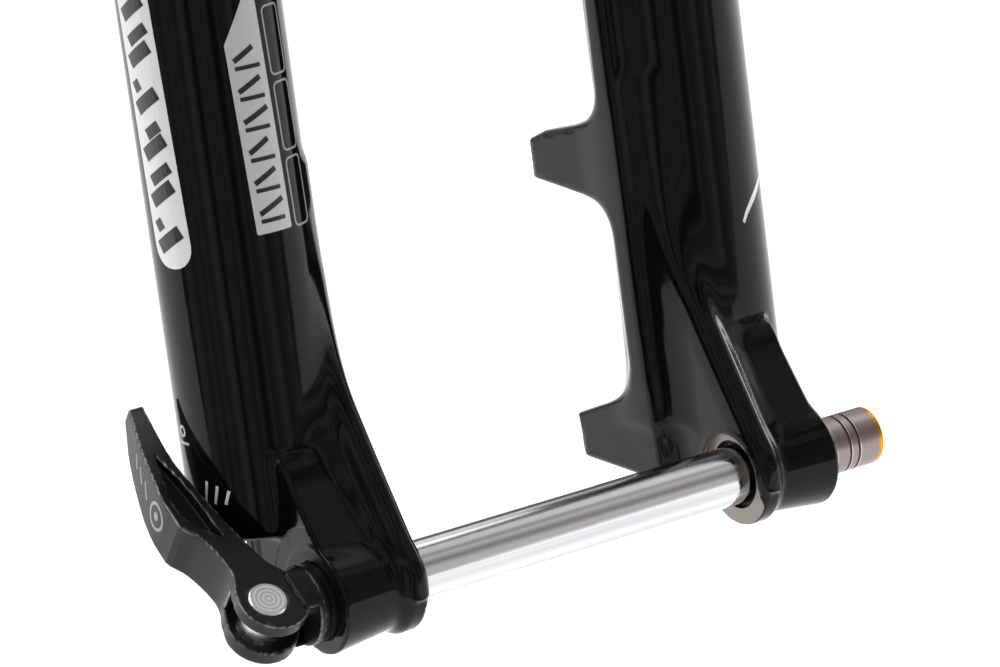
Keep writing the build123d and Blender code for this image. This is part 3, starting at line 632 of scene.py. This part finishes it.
def dropout(u, y, z):
    """Cast web: an inner flange, a valley and an outer block that carry the axle boss."""
    flange = slab(outline_distance(y, z, FLANGE), u, FACE_X, FLANGE_X, 2.9)
    valley = slab(outline_distance(y, z, VALLEY), u, 52, VALLEY_X, 3.4)
    block = slab(outline_distance(y, z, BLOCK), u, BLOCK_X, OUTER_X, 1.2)
    lip = slab(rod(y, z, 0, 0, 13.2), u, FACE_X, FLANGE_X, 2.0)
    slope = 11.6 + (u - 57.5) * 0.11
    boss = slab(rod(y, z, 0, 0, 0) - slope, u, 52, OUTER_X, 0.9)
    inner = smin(smin(flange, lip, 0.9), valley, 5.5)
    return inner, smin(block, boss, 1.4)


def posts(u, y, z):
    """Both brake posts and the flat plate between them."""
    flat = outline_distance(y, z, PLATE)
    for post in (UPPER_POST, LOWER_POST):
        flat = smin(flat, outline_distance(y, z, post), POST_FILLET)
    return slab(flat, u, *POSTS_X, 1.7)


# The arch's feet taper down from the first height, over the second, and end at the third.
TAPER_START, TAPER_DROP, ARCH_END = 334, 70, 268


def arch(x, y, z):
    """Bridge over the tyre, thick at the legs and slim at the crown of its curve."""
    def ellipse(cz, a, b):
        k = np.sqrt((x / a) ** 2 + ((z - cz) / b) ** 2)
        return k * (k - 1) / np.maximum(np.sqrt((x / a**2) ** 2 + ((z - cz) / b**2) ** 2), 1e-6)

    band = smax(ellipse(324, 84, 82), -ellipse(314, 43.5, 72), 5.0)
    fade = np.clip(TAPER_START - z, 0, TAPER_DROP)
    gap = 43 + 0.22 * fade - 2.0 * np.maximum(z - TAPER_START, 0)
    band = smax(band, gap - np.abs(x), 8.0)
    band = smax(band, ARCH_END - z, 8.0)
    lean = np.clip((z - 304) / 60, 0, 1)
    front = -12 + 13 * (1 - lean) ** 2 + 0.34 * fade
    rear = 26.0 - 21.0 * np.clip((z - 326) / 18, 0, 1) ** 1.5
    return smax(smax(band, front - y, 5.0), y - rear, 5.0)


# Machined cuts: radius and where each one ends, out from the middle or up from the axle.
SEAT_R, SEAT_X = 10.8, 51.0
BORE_R = 7.5
MOUTH_R, MOUTH_X = 8.8, 52.6
HEAD_R, HEAD_X = 9.8, 72.6
SPOT_R = 18.0
LEG_BORE_R, LEG_FLOOR = 17.0, 20.0
WIPER_R, WIPER_FLOOR = 20.0, 338.0
FOOT_R, FOOT = 9.6, 14.0
BOLT_R, BOLT_TOP = 4.4, 21.0
TAP_R, TAP_DEPTH, POST_TILT = 2.5, 18.0, 5.35


def cuts(x, u, y, z):
    """Everything that is machined away."""
    hub = np.minimum(rod(y, z, 0, 0, SEAT_R), np.maximum(np.abs(y) - SEAT_R, z))
    seat = np.maximum(hub, u - SEAT_X)
    bore = rod(y, z, 0, 0, BORE_R)
    mouth = np.maximum(rod(y, z, 0, 0, MOUTH_R), u - MOUTH_X)
    head = np.maximum(rod(y, z, 0, 0, HEAD_R), HEAD_X - u)
    spot = np.maximum(rod(y, z, 0, 0, SPOT_R), OUTER_X - u)
    inside = np.maximum(rod(u, y, LEG_X, LEG_Y, LEG_BORE_R), LEG_FLOOR - z)
    mouth_top = np.maximum(rod(u, y, LEG_X, LEG_Y, WIPER_R), WIPER_FLOOR - z)
    foot = np.maximum(rod(u, y, LEG_X, LEG_Y, FOOT_R), z - FOOT)
    hole = np.maximum(rod(u, y, LEG_X, LEG_Y, BOLT_R), z - BOLT_TOP)
    turned = (seat, bore, mouth, head, spot, inside, mouth_top, foot, hole)
    made = np.minimum.reduce(np.broadcast_arrays(*turned))
    tilt = np.radians(POST_TILT)
    for post_x, post_y, post_z in BRAKE_POSTS:
        along = (y - post_y) * np.cos(tilt) - (z - post_z) * np.sin(tilt)
        across = (y - post_y) * np.sin(tilt) + (z - post_z) * np.cos(tilt)
        tap = np.maximum(np.sqrt((x - post_x) ** 2 + across**2) - TAP_R, -TAP_DEPTH - along)
        made = np.minimum(made, tap)
    return made


# Web and posts end below the first height, and the arch begins above the second.
WEB_TOP, ARCH_LOW = 165, 251
FAR_AWAY = 1e3


def casting(x, y, z):
    """Both legs, with the brake posts and the hose boss on the left one only."""
    u = np.abs(x)
    left = np.where(x > 0, 0.0, FAR_AWAY)
    low, high = z.min() < WEB_TOP, z.max() > ARCH_LOW - 1
    d = leg(u, y, z)
    if low:
        inner, outer = dropout(u, y, z)
        d = smin(d, posts(u, y, z) + left, 6.5)
        d = smin(d, inner, 6.0)
        d = smin(d, outer, 2.2)
    if high:
        d = smin(d, arch(x, y, z), 9.0)
    boss = np.maximum(rod(u, z, LEG_X, 204, 5.2), np.maximum(y - 52.6, 20 - y)) + left
    d = smin(d, boss, 3.0)
    return smax(d, -cuts(x, u, y, z), 0.35)


# ------------------------------------------------------------------ meshing


def gradient(field, p, h=0.12):
    """Direction in which the field's distance grows fastest."""
    g = np.empty_like(p)
    for i in range(3):
        step = np.zeros(3)
        step[i] = h
        a, b = p + step, p - step
        g[:, i] = (by_height(field, a) - by_height(field, b)) / (2 * h)
    return g / np.maximum(np.linalg.norm(g, axis=1, keepdims=True), 1e-9)


def by_height(field, p):
    """Evaluates points in three bands of height, each with only its own shapes."""
    out = np.empty(len(p))
    for low, high in ((-1e9, WEB_TOP), (WEB_TOP, ARCH_LOW), (ARCH_LOW, 1e9)):
        pick = (p[:, 2] >= low) & (p[:, 2] < high)
        if pick.any():
            q = p[pick]
            out[pick] = field(q[:, 0], q[:, 1], q[:, 2])
    return out


def steps(*runs):
    """Grid lines from (end, step) runs that start at the first value."""
    start, made = runs[0], [runs[0]]
    for end, step in runs[1:]:
        n = max(1, int(round((end - start) / step)))
        made += list(start + (end - start) * np.arange(1, n + 1) / n)
        start = end
    return np.array(made, float)


LAYERS = 12  # grid layers that are worked out at a time


def contour(field, xs, ys, zs):
    """Dual contouring: one vertex a cell, set where the surface's planes meet."""
    value = np.concatenate(
        [
            field(xs[:, None, None], ys[None, :, None], zs[None, None, i : i + LAYERS])
            for i in range(0, len(zs), LAYERS)
        ],
        axis=2,
    )
    solid = value < 0
    grid = (xs, ys, zs)
    shape = tuple(n - 1 for n in value.shape)
    hits, owners, quads = [], [], []
    for axis in range(3):
        a = [slice(None)] * 3
        b = [slice(None)] * 3
        a[axis], b[axis] = slice(None, -1), slice(1, None)
        va, vb = value[tuple(a)], value[tuple(b)]
        at = np.argwhere(solid[tuple(a)] != solid[tuple(b)])
        other = [i for i in range(3) if i != axis]
        keep = np.all([(at[:, o] > 0) & (at[:, o] < value.shape[o] - 1) for o in other], axis=0)
        at = at[keep]
        fa, fb = va[tuple(at.T)], vb[tuple(at.T)]
        t = fa / (fa - fb)
        p = np.stack([grid[i][at[:, i]] for i in range(3)], axis=1)
        p[:, axis] += t * (grid[axis][at[:, axis] + 1] - grid[axis][at[:, axis]])
        cells = []
        for da, db in ((-1, -1), (0, -1), (0, 0), (-1, 0)):
            c = at.copy()
            c[:, other[0]] += da
            c[:, other[1]] += db
            cells.append(np.ravel_multi_index(tuple(c.T), shape))
        cells = np.stack(cells, axis=1)
        flip = (fa > 0) ^ (axis == 1)
        quads.append(np.where(flip[:, None], cells[:, ::-1], cells))
        hits.append(p)
        owners.append(cells)
    points = np.concatenate(hits)
    owners = np.concatenate(owners)
    quads = np.concatenate(quads)
    normals = gradient(field, points)
    used, index = np.unique(quads, return_inverse=True)
    index = index.reshape(quads.shape)
    own = np.searchsorted(used, owners)
    n = len(used)
    count = np.bincount(own.ravel(), minlength=n).astype(float)
    total = [np.bincount(own.ravel(), np.repeat(points[:, i], 4), n) for i in range(3)]
    mass = np.stack(total, axis=1) / count[:, None]
    ata = np.zeros((n, 3, 3))
    atb = np.zeros((n, 3))
    for corner in range(4):
        c = own[:, corner]
        away = np.einsum("ij,ij->i", normals, points - mass[c])
        for i in range(3):
            atb[:, i] += np.bincount(c, normals[:, i] * away, n)
            for j in range(3):
                ata[:, i, j] += np.bincount(c, normals[:, i] * normals[:, j], n)
    ata += np.eye(3) * 0.08
    spot = mass + np.linalg.solve(ata, atb[:, :, None])[:, :, 0]
    cell = np.stack(np.unravel_index(used, shape), axis=1)
    low = np.stack([grid[i][cell[:, i]] for i in range(3)], axis=1)
    high = np.stack([grid[i][cell[:, i] + 1] for i in range(3)], axis=1)
    spot = np.clip(spot, low, high)
    return spot, index


def corner_normals(field, spots, faces):
    """The true normal at each face corner, read a little inside the face so that edges stay crisp."""
    middle = spots[faces].mean(axis=1)
    near = 0.8 * spots[faces] + 0.2 * middle[:, None, :]
    return gradient(field, near.reshape(-1, 3), 0.05)


def add_piece(name, mesh, material, body):
    mesh.materials.append(material)
    piece = bpy.data.objects.new(name, mesh)
    bpy.context.scene.collection.objects.link(piece)
    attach(piece, body)
    return piece


def make_mesh(name, spots, faces, material, body, turn=None, normals=None):
    mesh = bpy.data.meshes.new(name)
    spots = np.asarray(spots)
    if turn is not None:
        spots = spots @ turn[0] + turn[1]
        normals = None if normals is None else normals @ turn[0]
    mesh.from_pydata(((spots + AXLE) / 1000).tolist(), [], np.asarray(faces).tolist())
    mesh.polygons.foreach_set("use_smooth", np.ones(len(mesh.polygons), bool))
    mesh.update()
    if normals is not None:
        mesh.normals_split_custom_set(normals.tolist())
    return add_piece(name, mesh, material, body)


def make_casting():
    """Casting in place of its CAD node, on grid lines that are finest at its details."""
    side = steps(37, (43.4, 1.6), (46, 0.85), (49.2, 1.1), (53.2, 0.45), (71.8, 1.1), (75, 0.55), (90, 1.7))
    xs = np.concatenate([-side[::-1], steps(-37, (37, 3.2))[1:-1], side])
    ys = steps(-20, (-15.5, 1.5), (17, 0.8), (50, 1.2), (70, 1.4))
    zs = steps(-20, (-15, 1.5), (18, 0.8), (48, 1.1), (165, 1.7), (300, 5.0), (412, 2.6))
    spots, faces = contour(casting, xs, ys, zs)
    normals = corner_normals(casting, spots, faces)
    piece = make_mesh(
        "lower_casting_skin", spots, faces, cast_paint(), "lowers", normals=normals
    )
    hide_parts("lower_casting")


# ------------------------------------------------------------------ lever and cup

# Lever space: x along the axle, y along the closed lever, z along its pin.
LEVER_TURN = (np.array([[1.0, 0.0, 0.0], UP, PIN]), np.array([LEVER_PIN_X, 0.0, 0.0]))
LEVER_SIDE = outline(
    curve((7.2, 6.4), (4, 15), (0.5, 35), (0, 47), (3, 66)),
    curve((-1, 66), (-6, 51), (-9.4, 36), (-9.6, 27)),
    curve((-9, 25.5), (-6.4, 21), (-4.4, 12), (-5.6, 5)),
)
LEVER_POCKET = outline(
    curve((-3.4, 49.5), (-1.7, 36), (-0.8, 21)), curve((-1.6, 21), (-6.7, 28), (-7.2, 35), (-5, 44))
)
EDGE_ROUND = 0.5
CAM_OFFSET, CAM_R = 1.5, 8.9
PIN_HOLE_R = 4.85
CUP_R, CUP_X, CUP_HALF = 9.8, 80.5, 3.1
CUP_FACET = 0.47


def lever(x, along, p):
    """Round eccentric head with a slot, an elbow, and a blade that narrows to its tip."""
    near = np.interp(along, [14, 40, 65], [7.2, 6.2, 2.2])
    far = np.interp(along, [14, 27, 40, 58, 67], [7.2, 7.7, 7.3, 5.2, 2.2])
    side = outline_distance(x, along, LEVER_SIDE)
    head = rod(x, along, CAM_OFFSET, 0, CAM_R)
    flat = smin(side, head, 2.4)
    wide = np.maximum(p - near, -p - far)
    r = EDGE_ROUND
    body = np.minimum(np.maximum(flat + r, wide + r), 0) + np.sqrt(
        np.maximum(flat + r, 0) ** 2 + np.maximum(wide + r, 0) ** 2
    ) - r
    pocket = smax(outline_distance(x, along, LEVER_POCKET), 3.2 + 0.02 * (50 - along) - np.abs(p), 0.8)
    body = smax(body, -pocket, 0.5)
    slot = np.maximum(np.abs(p) - 3.3, np.maximum(np.abs(x - 6) - 17, np.abs(along + 2) - 9.5))
    body = smax(body, -slot, 0.5)
    return smax(body, -rod(x, along, 0, 0, PIN_HOLE_R), 0.5)


def cup(x, along, p):
    """Cup that the cam bears on, with one sloping facet on each cheek."""
    y, z = along * UP[1] + p * PIN[1], along * UP[2] + p * PIN[2]
    at = x + LEVER_PIN_X
    drum = np.maximum(np.sqrt(y * y + z * z) - CUP_R, np.abs(at + CUP_X) - CUP_HALF)
    slope = (np.abs(p) - 7.2 - CUP_FACET * (at + CUP_X + CUP_HALF)) / np.sqrt(1 + CUP_FACET**2)
    body = smax(drum, slope, 0.9)
    fork = np.maximum(np.abs(p) - 7.4, np.abs(x) - 10.65)
    cam = np.maximum(rod(x, along, CAM_OFFSET, 0, CAM_R + 0.25), np.abs(p) - 7.4)
    body = smax(body, -np.minimum(fork, cam), 0.5)
    return smax(body, -(np.sqrt(y * y + z * z) - 3.6), 0.4)


def mark_edge_highlights(piece, field, spots):
    """Stores how convex the surface is at each vertex, so that a painted highlight can be laid along sharp
    edges.
    """
    reach = 0.45
    ways = np.vstack([np.eye(3), -np.eye(3)])
    around = sum(by_height(field, spots + reach * way) for way in ways)
    convex = np.clip(around / (6 * reach) / 0.16 - 0.85, 0, 1)
    edge_highlight = piece.data.attributes.new("edge_highlight", "FLOAT", "POINT")
    edge_highlight.data.foreach_set("value", convex)


def lever_skin(name, field, grid, material, body):
    """A mesh of one lever-space shape, with its edges marked for a painted highlight."""
    spots, faces = contour(field, *grid)
    normals = corner_normals(field, spots, faces)
    piece = make_mesh(name, spots, faces, material, body, LEVER_TURN, normals)
    mark_edge_highlights(piece, field, spots)
    return piece


def make_lever(materials):
    """Lever and cup in place of their CAD nodes."""
    grid = steps(-11, (12, 0.45)), steps(-10.5, (68, 0.6)), steps(-9, (8, 0.45))
    piece = lever_skin("cam_lever_skin", lever, grid, materials["lever"], "lever")
    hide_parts("cam_lever")
    grid = steps(5.2, (13, 0.45)), steps(-10.5, (10.5, 0.5)), steps(-10.5, (10.5, 0.5))
    piece = lever_skin("cam_cup_skin", cup, grid, materials["lever"], "axle")
    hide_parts("cam_cup")


# ------------------------------------------------------------------ printed marks


def rounded(width, height, r, cut=0.0, n=6):
    """Outline of a plate about its centre; one top corner may be cut off."""
    pts = []
    for sx, sy, start in ((1, -1, -90), (1, 1, 0), (-1, 1, 90), (-1, -1, 180)):
        if cut and (sx, sy) == (-1, 1):
            pts += [(-width / 2 + cut * 0.62, height / 2), (-width / 2, height / 2 - cut)]
            continue
        for k in range(n + 1):
            a = np.radians(start + 90 * k / n)
            pts.append((sx * (width / 2 - r) + r * np.cos(a), sy * (height / 2 - r) + r * np.sin(a)))
    return np.array(pts)


def bar(a, b, width):
    """A straight stroke from a to b."""
    a, b = np.array(a, float), np.array(b, float)
    d = (b - a) / np.linalg.norm(b - a)
    n = np.array([-d[1], d[0]]) * width / 2
    return np.array([a - n, b - n, b + n, a + n])


def disc(cx, cy, r, n=40):
    """Outline of a circle."""
    a = np.arange(n) * 2 * np.pi / n
    return np.stack([cx + r * np.cos(a), cy + r * np.sin(a)], axis=1)


def dense(loop, step):
    """The same loop with points no further apart than the step."""
    out = []
    for a, b in zip(loop, np.roll(loop, -1, axis=0)):
        n = max(1, int(np.ceil(np.linalg.norm(b - a) / step)))
        out += [a + (b - a) * k / n for k in range(n)]
    return np.array(out)


def fill(loops, step=1.6):
    """Triangles that fill the loops by the even-odd rule, with inner points so that they can bend."""
    verts, edges = [], []
    for loop in loops:
        loop = dense(np.array(loop), step * 0.6)
        start = len(verts)
        verts += [Vector(v) for v in loop]
        edges += [(start + i, start + (i + 1) % len(loop)) for i in range(len(loop))]
    allv = np.array([tuple(v) for v in verts])
    low, high = allv.min(0), allv.max(0)
    gx, gy = np.meshgrid(np.arange(low[0], high[0], step), np.arange(low[1], high[1], step))
    inner = np.stack([gx.ravel(), gy.ravel()], axis=1)
    edges_off = [np.abs(outline_distance(inner[:, 0], inner[:, 1], np.array(q))) for q in loops]
    depth = np.minimum.reduce(edges_off)
    verts += [Vector(v) for v in inner[depth > step * 0.45]]
    v, _, f, *_ = delaunay_2d_cdt(verts, edges, [], 0, 1e-5)
    v = np.array([tuple(q) for q in v])
    f = np.array([t for t in f if len(t) == 3])
    mid = v[f].mean(axis=1)
    odd = np.zeros(len(f), bool)
    for q in loops:
        odd ^= outline_distance(mid[:, 0], mid[:, 1], np.array(q)) < 0
    f = f[odd]
    used, back = np.unique(f, return_inverse=True)
    return v[used], back.reshape(f.shape)


def shell(name, loops, lay, material, body, lift=0.05, turn=None):
    """A closed thin film: the filled outline laid on a surface, with a top, a bottom and a rim."""
    flat, tris = fill(loops)
    top, bottom = lay(flat, lift), lay(flat, -0.06)
    area2 = flat[tris]
    cross = (area2[:, 1, 0] - area2[:, 0, 0]) * (area2[:, 2, 1] - area2[:, 0, 1])
    cross -= (area2[:, 1, 1] - area2[:, 0, 1]) * (area2[:, 2, 0] - area2[:, 0, 0])
    tris = np.where(cross[:, None] > 0, tris, tris[:, ::-1])
    n = len(flat)
    edges = np.concatenate([tris[:, [0, 1]], tris[:, [1, 2]], tris[:, [2, 0]]])
    keys = {(int(a), int(b)) for a, b in edges}
    rim = [(a, b) for a, b in keys if (b, a) not in keys]
    faces = [tuple(int(i) for i in t) for t in tris] + [tuple(int(i) + n for i in t[::-1]) for t in tris]
    faces += [(b, a, a + n, b + n) for a, b in sorted(rim)]
    spots = np.concatenate([top, bottom])
    if turn is not None:
        spots = spots @ turn[0] + turn[1]
    mesh = bpy.data.meshes.new(name)
    mesh.from_pydata(((spots + AXLE) / 1000).tolist(), [], faces)
    mesh.update()
    return add_piece(name, mesh, material, body)


def on_leg(side, angle, height):
    """Lays a flat mark on a leg: its x runs round the tube and its y up it, leaning a little."""

    def lay(flat, lift):
        a = np.radians(angle) + (flat[:, 0] + side * 0.036 * flat[:, 1]) / 19.75
        z = height + flat[:, 1]
        r = np.full(len(flat), 19.9)
        for _ in range(8):
            p = np.stack([side * LEG_X + r * np.cos(a), LEG_Y + r * np.sin(a), z], axis=1)
            r = r - (by_height(casting, p) - lift)
        return p

    return lay


OVERPRINT = 0.11  # how far a print stands off when it lies on another print


def make_marks(materials):
    """Abstract bands and strokes where the real fork carries printed words."""
    white, silver, black, grey = (materials[k] for k in ("ink_white", "ink_silver", "ink_black", "ink_grey"))
    for side, name in ((-1, "right"), (1, "left")):
        outward, front, foot = (-167.2, -87.3, 87.6) if side < 0 else (-12.8, -92.7, 131)
        band = on_leg(side, outward, 81.3)
        shell(f"band_{name}", [rounded(12.4, 176, 5.6) + (0, 88)], band, white, "lowers")
        for k in range(15):
            low, long = 5.0 + 11.2 * k, 2.4 + 2.2 * ((k * 2) % 3)
            start = -3.9 + 1.1 * (k % 3)
            block = [bar((-3.9, low), (3.9, low + 4.2), 3.4)]
            stub = [bar((start, low + 5.0), (start + long, low + 5.0 + 0.54 * long), 2.8)]
            shell(f"band_bar_{name}_{k}", block, band, black, "lowers", OVERPRINT)
            shell(f"band_stub_{name}_{k}", stub, band, black, "lowers", OVERPRINT)
        plate = on_leg(side, front, foot)
        face = [rounded(10.0, 60, 0.5, 14) + (0, 30)]
        shell(f"plate_{name}", face, plate, silver, "lowers")
        for k in range(6):
            low = 3.0 + 7.4 * k
            wide = 3.4 - 0.7 * (k % 3)
            line = [bar((-3.4, low), (3.4, low), 1.0)]
            tick = [bar((-3.4, low + 1.8), (wide, low + 4.6), 1.3)]
            shell(f"plate_bar_{name}_{k}", line, plate, black, "lowers", OVERPRINT)
            shell(f"plate_tick_{name}_{k}", tick, plate, black, "lowers", OVERPRINT)
    frames = on_leg(-1, -59, 87)
    for k in range(4):
        middle = (0, 8.6 + 18.4 * k)
        ring = [rounded(6.6, 17, 1.6) + middle, rounded(5.6, 16, 1.2) + middle]
        shell(f"outline_right_{k}", ring, frames, grey, "lowers")
    low = on_leg(-1, -161, 26.2)
    for k in range(3):
        dash = bar((3.1 * k - 3.1, -2.8), (3.1 * k - 1.6, 2.8 - 1.1 * k), 0.8)
        shell(f"foot_dash_right_{k}", [dash], low, white, "lowers")
    small = on_leg(-1, 172, 40.6)
    shell("foot_dot_right", [disc(0, 0, 1.5), disc(0, 0, 0.85)], small, white, "lowers")
    shell("foot_line_right", [bar((-2.2, -3), (2.4, -3), 0.6)], small, white, "lowers")
    swoosh = on_leg(1, -63, 64.2)
    t = np.linspace(0, 1, 10)
    run = np.stack([-5.4 + 11.4 * t, -4.2 + 9.4 * t**0.72], axis=1)
    width = 0.5 + 0.35 * np.sin(np.pi * t)
    normal = np.array([0.62, -0.78])
    loop = np.concatenate([run + normal * width[:, None], (run - normal * width[:, None])[::-1]])
    shell("curve_left", [loop], swoosh, white, "lowers")


def on_lever(flat, lift):
    """Lays a mark on the lever's outer face."""
    along, p = 41 + flat[:, 1], flat[:, 0]
    x = np.full(len(flat), -9.0)
    for _ in range(8):
        q = np.stack([x, along, p], axis=1)
        x = x + (lever(q[:, 0], q[:, 1], q[:, 2]) - lift)
    return np.stack([x, along, p], axis=1)


def make_lever_mark(materials):
    ink = materials["ink_lever"]
    rings = [[disc(0, -5.4, 3.7), disc(0, -5.4, 2.9)], [disc(0, -5.4, 1.1)]]
    for i, loops in enumerate(rings):
        shell(f"lever_ring_{i}", loops, on_lever, ink, "lever", 0.04, LEVER_TURN)
    for i, (low, high) in enumerate(((0.8, 4.2), (5.4, 8.8), (10.0, 12.6))):
        stroke = [bar((-1.2, low), (-1.2 + 2.4, high), 0.7)]
        shell(f"lever_bar_{i}", stroke, on_lever, ink, "lever", 0.04, LEVER_TURN)


# ------------------------------------------------------------------ build


make_camera()
make_floor()
make_world()
make_lights()
bpy.context.scene.view_settings.view_transform = "Standard"
MATERIALS = make_materials()
dress_nodes(MATERIALS)
make_casting()
make_lever(MATERIALS)
make_marks(MATERIALS)
make_lever_mark(MATERIALS)
